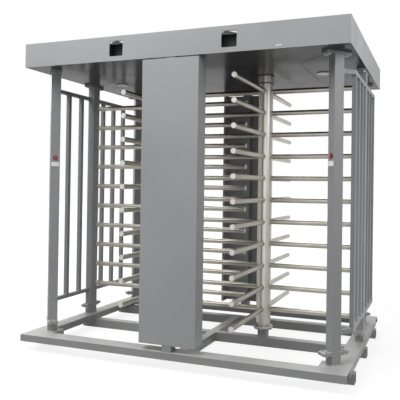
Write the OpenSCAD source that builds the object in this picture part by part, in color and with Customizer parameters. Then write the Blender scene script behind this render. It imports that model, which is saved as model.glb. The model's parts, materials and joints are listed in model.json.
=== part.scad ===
// Full height turnstile with a roof and two rotors side by side.
// Origin on the floor under the middle, +X to the right along the front, +Y to the back, +Z up.

/* [Overall] */
// Height of the whole turnstile
overall_h = 2330; // [2250:5:2450]
// Width of the roof
roof_w = 2480; // [2470:5:2520]
// Depth of the roof
roof_d = 1620; // [1600:5:1680]
// Height of the fascia round the roof
fascia_h = 178; // [170:1:190]
// Thickness of the folded sheet
sheet_t = 2; // [1.5:0.5:3]

/* [Base] */
// Length of the front and rear sills
base_w = 2480; // [2470:5:2510]
// Depth over the front and rear sills
base_d = 1630; // [1620:5:1680]
// Width of a sill channel
sill_w = 120; // [110:1:125]
// Height of a sill channel
sill_h = 51; // [40:1:60]
// Wall of a sill channel
sill_t = 4; // [3:0.5:6]
// Width of the square tube in the base
tube_w = 70; // [60:1:80]
// Wall of the square tube in the base
tube_t = 4; // [3:0.5:6]
// How far a cross tube stands out past the sills
cross_reach = 15; // [10:1:50]
// Distance from the middle to the front cross tube
front_tube_y = 580; // [560:5:640]
// Distance from the middle to the rear cross tube
rear_tube_y = 565; // [540:5:600]
// Width of a corner gusset
gusset_w = 85; // [70:1:100]
// Length of a corner gusset along the side
gusset_l = 125; // [116:1:150]
// Height of a corner gusset's skirt
gusset_h = 40; // [25:1:50]
// Thickness of the corner gussets
gusset_t = 6; // [4:1:10]

/* [Posts] */
// Side of the corner and centre posts
post_w = 70; // [60:1:80]
// Wall of the posts
post_t = 4; // [3:0.5:6]
// Sideways distance from the middle to a corner post
corner_x = 1116; // [1112:1:1125]
// Distance from the middle back to a corner post
corner_y = 612; // [608:1:625]
// Width of a middle post
mid_post_w = 60; // [50:1:64]
// Depth of a middle post
mid_post_d = 80; // [70:1:90]
// Sideways distance from the middle to a middle post
mid_x = 1200; // [1195:1:1203]
// Height of a post stub with its plate
stub_h = 73; // [60:1:90]
// Length of the ears of the post plates
ear_l = 60; // [50:1:65]
// Thickness of the post plates
flange_t = 10; // [8:1:14]
// Radius of the post bolts
post_bolt_r = 5; // [4:0.5:6]
// Distance between the two bolts of an ear
ear_bolt_gap = 36; // [30:1:38]

/* [Fences] */
// Side of the fence bars and rails
bar_w = 30; // [26:1:36]
// Gap between the upper rail and the tops of the posts
fence_top_gap = 96; // [60:2:240]
// Height of the underside of the lower rail
fence_low_z = 309; // [260:1:400]
// Distance from the middle out to the fence's outer face
fence_x = 1230; // [1225:1:1232]
// Distance between neighbouring bars
bar_pitch = 165; // [150:1:166]
// Distance from the middle of the side to its first bar
first_bar_y = 160; // [150:1:162]
// Bars in one fence section
bar_count = 3; // [2:1:3]

/* [Centre covers] */
// Width of a centre cover
cover_w = 432; // [400:2:440]
// Depth of a centre cover
cover_d = 120; // [110:1:124]
// Height of the lower edge of a centre cover
cover_low_z = 167; // [150:1:200]
// Gap between a centre cover and the roof
cover_top_gap = 8; // [5:1:15]
// Width of the folded edges of a centre cover
cover_fold = 20; // [15:1:25]

/* [Roof] */
// Width of the folded lip at the top of the fascia
lip_w = 25; // [15:1:40]
// Side of the square windows in the front fascia
window_w = 110; // [90:1:120]
// Depth of the box behind a window
window_box_d = 60; // [40:1:80]
// Rim of the box behind a window
window_rim = 10; // [6:1:15]
// Sideways distance from the middle to the slot in the front fascia
slot_x = 777; // [700:1:900]
// Length of the slot in the front fascia
slot_l = 44; // [30:1:60]
// Height of the slot in the front fascia
slot_h = 10; // [6:1:12]
// Height of the slot above the lower edge of the fascia
slot_up = 16; // [10:1:30]
// Half width of the middle soffit sheet
soffit_x = 802; // [760:2:820]
// Half depth of the middle soffit sheet
soffit_y = 352; // [330:2:380]
// Gap at the soffit seams
seam_gap = 3; // [2:0.5:5]
// Gap between the window boxes and the front beam
window_beam_gap = 83; // [40:1:90]
// Side of the square beams in the roof
beam_w = 70; // [60:1:74]
// Wall of the square beams in the roof
beam_t = 4; // [3:0.5:6]
// Distance from the middle out to a side beam
side_beam_x = 1190; // [1180:1:1195]
// Distance from the middle back to a rotor beam
rotor_beam_y = 110; // [105:1:120]
// Sideways distance from the middle to a ceiling lamp
lamp_x = 900; // [860:5:940]
// Radius of a ceiling lamp's lens
lamp_r = 50; // [40:1:60]
// Thickness of a ceiling lamp's lens
lamp_t = 7; // [5:1:12]
// Height of a ceiling lamp's body above the soffit
lamp_body_h = 34; // [20:1:50]

/* [Rotors] */
// Sideways distance from the middle to a rotor's axis
rotor_x = 435; // [432:1:438]
// Radius of a column
column_r = 57; // [50:0.5:60]
// Wall of a column
column_t = 4; // [3:0.5:5]
// Radius of an arm
arm_r = 19; // [16:0.5:20]
// Wall of an arm
arm_t = 2; // [1.5:0.5:3]
// Distance from a rotor's axis to the tip of its arms
arm_tip = 705; // [690:1:708]
// Height between neighbouring arms of a wing
arm_pitch = 173; // [168:1:174]
// Height of the lowest arms of the right rotor
right_low_z = 296; // [285:1:305]
// Height of the lowest arms of the left rotor
left_low_z = 389; // [375:1:392]
// Least height between the axis of the top arms and the top of a column
arm_top_gap = 50; // [30:1:60]
// Thickness of the head of an end cap
cap_t = 5; // [3:0.5:8]
// Length of an end cap's spigot in the arm
spigot_l = 14; // [10:1:20]

/* [Bearings] */
// Radius of the upper spindles
spindle_r = 25; // [20:0.5:28]
// Radius of the lower spindles
foot_r = 20; // [16:0.5:24]
// Radial clearance of the turning fits
running_gap = 0.05; // [0.02:0.01:0.09]
// Clearance round pieces that only sit in one another
seat_gap = 0.3; // [0.1:0.05:0.5]
// Radius of the lower bearing flange
foot_flange_r = 75; // [70:1:80]
// Thickness of the lower bearing flange and of the plate under it
foot_flange_t = 10; // [8:1:14]
// Height of a stub post with its round plate
foot_post_h = 80; // [60:1:90]
// Height of the lower bearing's hub above its flange
foot_hub_h = 22; // [15:1:30]
// Radius of the lower bearing's hub
foot_hub_r = 38; // [30:1:45]
// Radius of the bolt circle on the lower bearing
foot_bolt_circle_r = 58; // [56:1:62]
// Radius of the collar under the roof
collar_r = 62.5; // [60:0.5:70]
// Gap between a column and its collar
collar_gap = 3; // [2:0.5:6]
// Distance from the top of a column to the soffit
column_drop = 65; // [60:1:90]

/* [Head gear] */
// Thickness of the bearing plates
bearing_plate_t = 10; // [8:1:14]
// Length of a bearing plate
bearing_plate_l = 320; // [310:5:400]
// Radius of the upper bearing's body
bearing_body_r = 45; // [42:0.5:50]
// Radius of the upper bearing's flange
bearing_flange_r = 68; // [60:1:70]
// Radius of the bearing ring
bearing_ring_r = 38; // [36:0.5:40]
// Module of the gears
gear_module = 3; // [2.5:0.1:3.2]
// Teeth of the drive gear
gear_teeth = 60; // [60:4:64]
// Teeth of the pinion
pinion_teeth = 15; // [15:1:16]
// Face width of the gears
gear_t = 14; // [10:1:18]
// Radius of the index plate
index_r = 80; // [74:1:81]
// Thickness of the index plate
index_t = 8; // [6:1:12]
// Width of the notches in the index plate
notch_w = 16; // [12:1:20]
// Depth of the notches in the index plate
notch_d = 14; // [12:1:18]
// Radius of the damper body
damper_r = 34; // [30:1:36]
// Height of the damper body
damper_h = 14; // [10:1:15]
// Radius of the pinion's shaft
pinion_shaft_r = 8; // [6:0.5:10]
// Distance from the pawl's pivot to the middle of its nose
pawl_l = 75; // [70:1:80]
// Radius of the pawl pivot pin
pawl_pin_r = 6; // [5:0.5:8]
// Clearance between the released pawl and the index plate
pawl_clear = 3; // [2:0.5:5]
// How far the pawl's nose moves into a notch
pawl_stroke = 10; // [8:0.5:12]
// Width of the pawl's nose
pawl_nose_w = 12; // [10:0.5:14]
// Width of the pawl's arm
pawl_w = 18; // [14:1:22]
// Radius of the rotary lock solenoid under the pawl
solenoid_r = 24; // [20:1:26]

/* [Buttons] */
// Height of the push buttons
button_z = 1473; // [1300:1:1600]
// Radius of a push button
button_r = 11; // [9:0.5:14]
// Travel of a push button
button_travel = 4; // [3:0.5:5]
// Radius of a button's bezel
bezel_r = 17; // [15:0.5:20]
// Thickness of a button's bezel
bezel_t = 4; // [3:0.5:6]
// Side of a switch body
switch_w = 30; // [26:1:34]

/* [Hidden] */

paint = "#8c8d90";
paint_dark = "#6e6e70";
steel = "#b8b6ae";
zinc = "#9a9a98";
$fn = 48;
cut = 1;
root2 = sqrt(2);

// Levels of the base and the posts
sill_z = tube_w;
sill_top = sill_z + sill_h;
post_z = sill_top + stub_h;
roof_low = overall_h - fascia_h;
soffit_low = roof_low;
beam_z = soffit_low + sheet_t;
post_top = soffit_low - flange_t;
post_h = post_top - post_z;
fence_top_z = post_top - fence_top_gap;
inner_x = base_w / 2 - sill_w;
inner_y = base_d / 2 - sill_w;
cover_front = roof_d / 2 - sheet_t;
centre_post_y = cover_front - sheet_t - post_w / 2;
beam_y = roof_d / 2 - sheet_t - window_box_d - window_beam_gap - beam_w / 2;

// Bolts of the post plates
bolt_clear = 0.5;
weld_gap = 0.3;
bolt_head_r = 8.5;
bolt_head_h = 6;
nut_h = 8;
bolt_tail = 4;
ear_bolt_share = 0.52;

// Rotor levels
column_top = soffit_low - column_drop;
right_arms = floor((column_top - arm_top_gap - right_low_z) / arm_pitch) + 1;
left_arms = floor((column_top - arm_top_gap - left_low_z) / arm_pitch) + 1;
foot_z = tube_w + foot_post_h;
hub_top = foot_z + foot_flange_t + foot_hub_h;
plug_t = 20;
shoulder_t = 4;
column_low = hub_top + shoulder_t + seat_gap;
shoulder_r = 30;
foot_bolt_r = 5;

// Head gear levels
bearing_plate_z = beam_z + beam_w;
bearing_top = bearing_plate_z + bearing_plate_t;
bearing_flange_t = 8;
bearing_depth = 30;
ring_seat_t = 4;
index_hub_r = 34;
index_hub_h = 8;
index_lift = 2;
index_z = bearing_top + bearing_flange_t + index_lift + index_hub_h;
gear_z = index_z + index_t;
spindle_over = 12;
gear_gap_share = 0.44;
tip_share = 0.2;
dedendum_share = 1.25;
axis_gap = gear_module * (gear_teeth + pinion_teeth) / 2;
pinion_over = 4;

// Button places
bezel_sleeve_r = 14;
button_out = 5;
button_inner = 22;
switch_d = 20;

module square_tube(length, side, wall) {
    difference() {
        translate([-side / 2, -side / 2, 0]) cube([side, side, length]);
        translate([-side / 2 + wall, -side / 2 + wall, -cut])
            cube([side - 2 * wall, side - 2 * wall, length + 2 * cut]);
    }
}

module tube_along_x(length, side, wall) {
    translate([-length / 2, 0, side / 2]) rotate([0, 90, 0]) square_tube(length, side, wall);
}

module tube_along_y(length, side, wall) {
    translate([0, length / 2, side / 2]) rotate([90, 0, 0]) square_tube(length, side, wall);
}

module ring(height, outer, inner) {
    difference() {
        cylinder(h = height, r = outer);
        translate([0, 0, -cut]) cylinder(h = height + 2 * cut, r = inner);
    }
}

// Channel with its open side down, along X
module sill_channel(length) {
    translate([-length / 2, 0, 0]) difference() {
        cube([length, sill_w, sill_h]);
        translate([-cut, sill_t, -cut]) cube([length + 2 * cut, sill_w - 2 * sill_t, sill_h - sill_t + cut]);
    }
}

module both_sides() {
    children();
    mirror([1, 0, 0]) children();
}

module front_and_back() {
    children();
    mirror([0, 1, 0]) children();
}

module four_corners() {
    both_sides() front_and_back() children();
}

module at_rotors() {
    for (side = [-1, 1]) translate([side * rotor_x, 0, 0]) children();
}

// Base
module front_sill() {
    color(paint) translate([0, -base_d / 2, sill_z]) sill_channel(base_w);
}

module rear_sill() {
    color(paint) mirror([0, 1, 0]) translate([0, -base_d / 2, sill_z]) sill_channel(base_w);
}

module side_sills() {
    color(paint) both_sides() translate([inner_x, 0, sill_z]) rotate([0, 0, 90])
        translate([0, -sill_w, 0]) sill_channel(2 * inner_y);
}

module cross_tube() {
    tube_along_x(base_w + 2 * cross_reach, tube_w, tube_t);
}

module outer_cross_tubes() {
    color(paint_dark) {
        translate([0, -front_tube_y, 0]) cross_tube();
        translate([0, rear_tube_y, 0]) cross_tube();
    }
}

module middle_cross_tube() {
    color(paint_dark) cross_tube();
}

// Tube between two places along the depth
module spine_part(from, to) {
    translate([0, (from + to) / 2, 0]) tube_along_y(to - from, tube_w, tube_t);
}

module centre_spine() {
    half = tube_w / 2;
    color(paint_dark) {
        spine_part(-front_tube_y + half, -half);
        spine_part(half, rear_tube_y - half);
    }
}

// Plate in the inner corner of two sills, with a skirt along its two free edges
module sill_gusset() {
    translate([inner_x - gusset_w, inner_y - gusset_l, sill_top - gusset_h]) difference() {
        cube([gusset_w, gusset_l, gusset_h]);
        translate([gusset_t, gusset_t, -cut]) cube([gusset_w, gusset_l, gusset_h - gusset_t + cut]);
    }
}

module sill_gussets() {
    color(paint) four_corners() sill_gusset();
}

// Plate with two ears along X and two bolt holes in each
module ear_plate(width, depth) {
    difference() {
        translate([-depth / 2 - ear_l, -width / 2, 0]) cube([depth + 2 * ear_l, width, flange_t]);
        at_ear_bolts(depth) translate([0, 0, -cut])
            cylinder(h = flange_t + 2 * cut, r = post_bolt_r + bolt_clear);
    }
}

module at_ear_bolts(depth) {
    for (side = [-1, 1], row = [-1, 1])
        translate([side * (depth / 2 + ear_l * ear_bolt_share), row * ear_bolt_gap / 2, 0]) children();
}

module box_tube(length, width, depth, wall) {
    difference() {
        translate([-depth / 2, -width / 2, 0]) cube([depth, width, length]);
        translate([-depth / 2 + wall, -width / 2 + wall, -cut])
            cube([depth - 2 * wall, width - 2 * wall, length + 2 * cut]);
    }
}

module stub(width, depth) {
    box_tube(stub_h - flange_t, width, depth, post_t);
    translate([0, 0, stub_h - flange_t]) ear_plate(width, depth);
}

// Post with a bolted plate at each end
module flanged_post(width, depth) {
    ear_plate(width, depth);
    translate([0, 0, flange_t]) box_tube(post_h - 2 * flange_t, width, depth, post_t);
    translate([0, 0, post_h - flange_t]) ear_plate(width, depth);
}

// Front right corner, with the ears along the diagonal
module at_front_right() {
    translate([corner_x, -corner_y, 0]) rotate([0, 0, 45]) children();
}

module at_middle_right() {
    translate([mid_x, 0, 0]) rotate([0, 0, 90]) children();
}

module post_stubs() {
    color(paint) {
        four_corners() at_front_right() translate([0, 0, sill_top]) stub(post_w, post_w);
        both_sides() at_middle_right() translate([0, 0, sill_top]) stub(mid_post_w, mid_post_d);
    }
}

module front_post() {
    difference() {
        at_front_right() translate([0, 0, post_z]) flanged_post(post_w, post_w);
        at_button() translate([0, 0, -cut]) cylinder(h = post_t + 2 * cut, r = bezel_sleeve_r + seat_gap);
    }
}

// Middle of a button on the face of its post, with +Z into the post
module at_button() {
    at_front_right() translate([-post_w / 2, 0, button_z]) rotate([0, 90, 0]) children();
}

module front_right_post() {
    color(paint) front_post();
}

module front_left_post() {
    color(paint) mirror([1, 0, 0]) front_post();
}

module rear_posts() {
    color(paint) both_sides() mirror([0, 1, 0]) at_front_right() translate([0, 0, post_z])
        flanged_post(post_w, post_w);
}

module middle_posts() {
    color(paint) both_sides() at_middle_right() translate([0, 0, post_z])
        flanged_post(mid_post_w, mid_post_d);
}

module centre_posts() {
    color(paint) front_and_back() translate([0, -centre_post_y, sill_top])
        square_tube(soffit_low - sill_top, post_w, post_t);
}

module head_plates() {
    color(paint_dark) {
        four_corners() at_front_right() translate([0, 0, post_top]) ear_plate(post_w, post_w);
        both_sides() at_middle_right() translate([0, 0, post_top]) ear_plate(mid_post_w, mid_post_d);
    }
}

// Bolt through two plates whose lower face is at zero, nut below and head above
module plate_bolt(grip) {
    translate([0, 0, -nut_h - bolt_tail])
        cylinder(h = grip + nut_h + bolt_tail + bolt_head_h / 2, r = post_bolt_r);
    translate([0, 0, -nut_h]) cylinder(h = nut_h, r = bolt_head_r, $fn = 6);
    translate([0, 0, grip]) cylinder(h = bolt_head_h, r = bolt_head_r, $fn = 6);
}

// Bolt that comes up from below into the roof plates, with its head below
module roof_bolt(grip) {
    translate([0, 0, -bolt_head_h]) cylinder(h = bolt_head_h, r = bolt_head_r, $fn = 6);
    translate([0, 0, -bolt_head_h / 2]) cylinder(h = grip + bolt_head_h / 2, r = post_bolt_r);
}

module post_bolts() {
    color(zinc) {
        four_corners() at_front_right() at_ear_bolts(post_w) {
            translate([0, 0, post_z - flange_t]) plate_bolt(2 * flange_t);
            translate([0, 0, post_top - flange_t]) roof_bolt(2 * flange_t);
        }
        both_sides() at_middle_right() at_ear_bolts(mid_post_d) {
            translate([0, 0, post_z - flange_t]) plate_bolt(2 * flange_t);
            translate([0, 0, post_top - flange_t]) roof_bolt(2 * flange_t);
        }
    }
}

// Fences, drawn for the front right section
rail_x = fence_x - bar_w / 2;
rail_bend_y = corner_y - (rail_x - corner_x);
half_bar = bar_w / 2;
mitre = half_bar * tan(45 / 2);
return_start = post_w / 2 / root2;
return_half = half_bar / root2;

module rail_pieces() {
    linear_extrude(bar_w) polygon([
        [fence_x - bar_w, -mid_post_d / 2],
        [fence_x, -mid_post_d / 2],
        [fence_x, -rail_bend_y - mitre + weld_gap],
        [fence_x - bar_w, -rail_bend_y + mitre + weld_gap]
    ]);
    linear_extrude(bar_w) polygon([
        [corner_x + return_start + return_half, -corner_y + return_start - return_half],
        [fence_x, -rail_bend_y - mitre],
        [fence_x - bar_w, -rail_bend_y + mitre],
        [corner_x + return_start - return_half, -corner_y + return_start + return_half]
    ]);
}

// Rails with mitred ends and bars between them, each a piece of its own
module fence() {
    translate([0, 0, fence_low_z]) rail_pieces();
    translate([0, 0, fence_top_z - bar_w]) rail_pieces();
    for (i = [0 : bar_count - 1])
        translate([fence_x - bar_w, -first_bar_y - i * bar_pitch - half_bar, fence_low_z + bar_w + weld_gap])
            cube([bar_w, bar_w, fence_top_z - fence_low_z - 2 * bar_w - 2 * weld_gap]);
}

module right_front_fence() {
    color(paint) fence();
}

module right_rear_fence() {
    color(paint) mirror([0, 1, 0]) fence();
}

module left_front_fence() {
    color(paint) mirror([1, 0, 0]) fence();
}

module left_rear_fence() {
    color(paint) mirror([1, 0, 0]) mirror([0, 1, 0]) fence();
}

// Cover folded from one sheet, open towards the rotors
module cover() {
    cover_h = roof_low - cover_top_gap - cover_low_z;
    translate([-cover_w / 2, -cover_front, cover_low_z]) difference() {
        cube([cover_w, cover_d, cover_h]);
        translate([sheet_t, sheet_t, sheet_t])
            cube([cover_w - 2 * sheet_t, cover_d - 2 * sheet_t, cover_h - 2 * sheet_t]);
        translate([cover_fold, cover_d - sheet_t - cut, cover_fold])
            cube([cover_w - 2 * cover_fold, sheet_t + 2 * cut, cover_h - 2 * cover_fold]);
        translate([cover_fold, cover_fold, -cut])
            cube([cover_w - 2 * cover_fold, cover_d, cover_h + 2 * cut]);
        translate([cover_w / 2 - post_w / 2, sheet_t, -cut]) cube([post_w, post_w, cover_h + 2 * cut]);
    }
}

module front_cover() {
    color(paint) cover();
}

module rear_cover() {
    color(paint) mirror([0, 1, 0]) cover();
}

// Roof
window_z = roof_low + (fascia_h - window_w) / 2;

module perimeter_beams() {
    color(paint_dark) translate([0, 0, beam_z]) {
        front_and_back() translate([0, -beam_y, 0])
            tube_along_x(2 * side_beam_x + beam_w, beam_w, beam_t);
        both_sides() translate([side_beam_x, 0, 0])
            tube_along_y(2 * beam_y - beam_w - 2 * weld_gap, beam_w, beam_t);
    }
}

module rotor_beams() {
    color(paint_dark) front_and_back() translate([0, -rotor_beam_y, beam_z])
        tube_along_x(2 * side_beam_x - beam_w, beam_w, beam_t);
}

// Fascia sheet along X with a lip at its top, under the roof sheet
module fascia(length) {
    translate([-length / 2, 0, 0]) {
        cube([length, sheet_t, fascia_h - sheet_t]);
        translate([sheet_t, sheet_t, fascia_h - 2 * sheet_t])
            cube([length - 2 * sheet_t, lip_w - sheet_t, sheet_t]);
    }
}

module front_fascia() {
    color(paint) difference() {
        translate([0, -roof_d / 2, roof_low]) fascia(roof_w);
        for (side = [-1, 1]) translate([side * rotor_x - window_w / 2, -roof_d / 2 - cut, window_z])
            cube([window_w, sheet_t + 2 * cut, window_w]);
        translate([slot_x - slot_l / 2, -roof_d / 2 - cut, roof_low + slot_up])
            cube([slot_l, sheet_t + 2 * cut, slot_h]);
    }
}

module rear_fascia() {
    color(paint) mirror([0, 1, 0]) translate([0, -roof_d / 2, roof_low]) fascia(roof_w);
}

module side_fascias() {
    color(paint) both_sides() difference() {
        translate([roof_w / 2, 0, roof_low]) rotate([0, 0, 90]) fascia(roof_d - 2 * sheet_t);
        front_and_back() translate([roof_w / 2 - lip_w - cut, -roof_d / 2, overall_h - 2 * sheet_t - cut])
            cube([lip_w - sheet_t + cut, lip_w, sheet_t + 2 * cut]);
    }
}

module roof_sheet() {
    color(paint) translate([-roof_w / 2, -roof_d / 2, overall_h - sheet_t]) cube([roof_w, roof_d, sheet_t]);
}

soffit_out_x = roof_w / 2 - sheet_t - seat_gap;
soffit_out_y = roof_d / 2 - sheet_t - seat_gap;

module outer_soffits() {
    color(paint) translate([0, 0, soffit_low]) {
        front_and_back() linear_extrude(sheet_t) polygon([
            [-soffit_out_x + seam_gap, -soffit_out_y],
            [soffit_out_x - seam_gap, -soffit_out_y],
            [soffit_x, -soffit_y - seam_gap],
            [-soffit_x, -soffit_y - seam_gap]
        ]);
        both_sides() difference() {
            linear_extrude(sheet_t) polygon([
                [soffit_out_x, -soffit_out_y + seam_gap],
                [soffit_out_x, soffit_out_y - seam_gap],
                [soffit_x + seam_gap, soffit_y],
                [soffit_x + seam_gap, -soffit_y]
            ]);
            translate([lamp_x, 0, -cut]) cylinder(h = sheet_t + 2 * cut, r = lamp_neck_r + seat_gap);
        }
    }
}

lamp_neck_r = lamp_r - lamp_t;

module centre_soffit() {
    color(paint) difference() {
        translate([-soffit_x, -soffit_y, soffit_low]) cube([2 * soffit_x, 2 * soffit_y, sheet_t]);
        at_rotors() translate([0, 0, soffit_low - cut])
            cylinder(h = sheet_t + 2 * cut, r = spindle_r + shoulder_t);
    }
}

module ceiling_lamps() {
    color("#e8e6df") both_sides() translate([lamp_x, 0, soffit_low - lamp_t]) {
        cylinder(h = lamp_t, r = lamp_r);
        cylinder(h = lamp_t + sheet_t + lamp_body_h, r = lamp_neck_r);
    }
}

module window_boxes() {
    outer = window_w + 2 * window_rim;
    corner = [-outer / 2, -roof_d / 2 + sheet_t, window_z - window_rim];
    color("#2c2c2e") at_rotors() translate(corner) difference() {
        cube([outer, window_box_d, outer]);
        translate([sheet_t, -cut, sheet_t])
            cube([outer - 2 * sheet_t, window_box_d - sheet_t + cut, outer - 2 * sheet_t]);
    }
}

// Head gear
module bearing_plates() {
    plate_d = 2 * rotor_beam_y + beam_w;
    color(zinc) at_rotors() translate([0, 0, bearing_plate_z]) difference() {
        translate([-bearing_plate_l / 2, -plate_d / 2, 0]) cube([bearing_plate_l, plate_d, bearing_plate_t]);
        translate([0, 0, -cut]) cylinder(h = bearing_plate_t + 2 * cut, r = bearing_body_r + seat_gap);
        at_flange_bolts() translate([0, 0, -cut])
            cylinder(h = bearing_plate_t + 2 * cut, r = foot_bolt_r + bolt_clear);
    }
}

module top_bearings() {
    color(paint_dark) at_rotors() translate([0, 0, bearing_top - bearing_depth]) difference() {
        union() {
            cylinder(h = bearing_depth + bearing_flange_t, r = bearing_body_r);
            translate([0, 0, bearing_depth]) cylinder(h = bearing_flange_t, r = bearing_flange_r);
        }
        translate([0, 0, ring_seat_t])
            cylinder(h = bearing_depth + bearing_flange_t, r = bearing_ring_r + seat_gap);
        translate([0, 0, -cut]) cylinder(h = ring_seat_t + 2 * cut, r = spindle_r + shoulder_t);
        at_flange_bolts() translate([0, 0, bearing_depth - cut])
            cylinder(h = bearing_flange_t + 2 * cut, r = foot_bolt_r + bolt_clear);
    }
}

module at_flange_bolts() {
    for (i = [0 : 3]) rotate([0, 0, i * 90])
        translate([(bearing_body_r + bearing_flange_r) / 2, 0, 0]) children();
}

module bearing_rings() {
    color(steel) at_rotors() translate([0, 0, bearing_top - bearing_depth + ring_seat_t])
        ring(bearing_depth + bearing_flange_t - ring_seat_t, bearing_ring_r, spindle_r + running_gap);
}

// Gear outline with straight flanks, one tooth centred on +X when phase is zero
function gear_outline(teeth, phase) = let (
    pitch_r = gear_module * teeth / 2,
    tip_r = pitch_r + gear_module,
    root_r = pitch_r - gear_module * dedendum_share,
    step = 360 / teeth,
    foot_half = step * gear_gap_share / 2 * pitch_r / root_r * dedendum_share,
    tip_half = step * tip_share / 2
) [for (i = [0 : teeth - 1], corner = [
        [root_r, -foot_half], [tip_r, -tip_half], [tip_r, tip_half], [root_r, foot_half]
    ]) let (a = i * step + phase + corner[1]) corner[0] * [cos(a), sin(a)]];

module drive_gear() {
    color(steel) translate([0, 0, gear_z]) difference() {
        linear_extrude(gear_t) polygon(gear_outline(gear_teeth, 0));
        translate([0, 0, -cut]) cylinder(h = gear_t + 2 * cut, r = spindle_r + running_gap);
    }
}

module index_plate() {
    color(zinc) difference() {
        union() {
            translate([0, 0, index_z]) cylinder(h = index_t, r = index_r);
            translate([0, 0, index_z - index_hub_h]) cylinder(h = index_hub_h, r = index_hub_r);
        }
        for (i = [0 : 3]) rotate([0, 0, i * 90])
            translate([index_r - notch_d, -notch_w / 2, index_z - cut])
                cube([notch_d + cut, notch_w, index_t + 2 * cut]);
        translate([0, 0, index_z - index_hub_h - cut])
            cylinder(h = index_hub_h + index_t + 2 * cut, r = spindle_r + running_gap);
    }
}

module pinion() {
    color(steel) translate([axis_gap, 0, 0]) {
        translate([0, 0, gear_z]) linear_extrude(gear_t)
            polygon(gear_outline(pinion_teeth, 180 + 180 / pinion_teeth));
        translate([0, 0, bearing_top + seat_gap])
            cylinder(h = gear_z + gear_t + pinion_over - bearing_top - seat_gap, r = pinion_shaft_r);
    }
}

module dampers() {
    color("#2c2c2e") at_rotors() translate([axis_gap, 0, bearing_top])
        ring(damper_h, damper_r, pinion_shaft_r + running_gap);
}

// Pawl that swings its nose into a notch of the index plate
pawl_nose_x = index_r + pawl_clear;
pawl_arm_x = pawl_nose_x + pawl_stroke + pawl_clear;
pawl_pivot_x = pawl_nose_x - pawl_stroke / 2;

module pawl() {
    nose = pawl_nose_w / 2;
    color(zinc) translate([0, 0, index_z]) difference() {
        union() {
            linear_extrude(index_t) polygon([
                [-pawl_nose_x, -nose],
                [-pawl_nose_x, nose],
                [-pawl_arm_x, nose],
                [-pawl_arm_x, pawl_l - pawl_w],
                [-pawl_pivot_x, pawl_l],
                [-pawl_pivot_x - pawl_w / 2, pawl_l],
                [-pawl_arm_x - pawl_w, pawl_l / 2],
                [-pawl_arm_x - pawl_w, -nose]
            ]);
            translate([-pawl_pivot_x, pawl_l, 0]) cylinder(h = index_t, r = pawl_w / 2 + pawl_pin_r / 2);
        }
        translate([-pawl_pivot_x, pawl_l, -cut])
            cylinder(h = index_t + 2 * cut, r = pawl_pin_r + running_gap);
    }
}

module left_pawl() {
    translate([-rotor_x, 0, 0]) pawl();
}

module right_pawl() {
    translate([rotor_x, 0, 0]) pawl();
}

// Rotary solenoid with the pawl's pivot pin as its shaft
module lock_solenoids() {
    color("#3a3a3c") at_rotors() translate([-pawl_pivot_x, pawl_l, bearing_top]) {
        cylinder(h = index_z - bearing_top - seat_gap, r = solenoid_r);
        cylinder(h = index_z - bearing_top + index_t, r = pawl_pin_r);
    }
}

// Rotor supports
module rotor_foot_posts() {
    color(paint_dark) at_rotors() translate([0, 0, tube_w]) {
        square_tube(foot_post_h - foot_flange_t, tube_w, tube_t);
        translate([0, 0, foot_post_h - foot_flange_t]) difference() {
            cylinder(h = foot_flange_t, r = foot_flange_r);
            at_foot_bolts() foot_bolt_hole();
        }
    }
}

module foot_bolt_hole() {
    translate([0, 0, -cut]) cylinder(h = foot_flange_t + 2 * cut, r = foot_bolt_r + bolt_clear);
}

module at_foot_bolts() {
    for (i = [0 : 3]) rotate([0, 0, i * 90]) translate([foot_bolt_circle_r, 0, 0]) children();
}

module bottom_bearings() {
    color(steel) at_rotors() translate([0, 0, foot_z]) difference() {
        union() {
            cylinder(h = foot_flange_t, r = foot_flange_r);
            cylinder(h = foot_flange_t + foot_hub_h, r = foot_hub_r);
        }
        translate([0, 0, -cut]) cylinder(h = foot_flange_t + foot_hub_h + 2 * cut, r = foot_r + running_gap);
        at_foot_bolts() foot_bolt_hole();
    }
}

module bearing_bolts() {
    color(zinc) at_rotors() {
        at_foot_bolts() translate([0, 0, foot_z - foot_flange_t]) plate_bolt(2 * foot_flange_t);
        at_flange_bolts() translate([0, 0, bearing_plate_z]) plate_bolt(bearing_plate_t + bearing_flange_t);
    }
}

module top_collars() {
    color(steel) at_rotors() translate([0, 0, column_top + collar_gap])
        ring(column_drop - collar_gap, collar_r, column_r);
}

// Rotors
module column() {
    color(steel) translate([0, 0, column_low]) ring(column_top - column_low, column_r, column_r - column_t);
}

module spindles() {
    plug_r = column_r - column_t - running_gap;
    color(steel) {
        translate([0, 0, column_top - plug_t]) cylinder(h = plug_t, r = plug_r);
        translate([0, 0, column_top - plug_t])
            cylinder(h = gear_z + gear_t + spindle_over - column_top + plug_t, r = spindle_r);
        translate([0, 0, column_low]) cylinder(h = plug_t, r = plug_r);
        translate([0, 0, column_low - shoulder_t]) cylinder(h = shoulder_t, r = shoulder_r);
        translate([0, 0, foot_z + seat_gap]) cylinder(h = column_low - foot_z, r = foot_r);
    }
}

// One arm along +X, its root cut to the column
module arm() {
    arm_end = arm_tip - cap_t;
    difference() {
        rotate([0, 90, 0]) cylinder(h = arm_end, r = arm_r);
        rotate([0, 90, 0]) cylinder(h = arm_end + cut, r = arm_r - arm_t);
        translate([0, 0, -2 * arm_r]) cylinder(h = 4 * arm_r, r = column_r);
    }
}

module arm_cap() {
    translate([arm_tip - cap_t - spigot_l, 0, 0]) rotate([0, 90, 0]) {
        cylinder(h = spigot_l + cap_t, r = arm_r - arm_t - running_gap);
        translate([0, 0, spigot_l]) cylinder(h = cap_t, r = arm_r);
    }
}

module at_arms(low_z, count) {
    for (i = [0 : count - 1], wing = [0 : 3])
        translate([0, 0, low_z + i * arm_pitch]) rotate([0, 0, wing * 90]) children();
}

module at_left() {
    translate([-rotor_x, 0, 0]) children();
}

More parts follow.
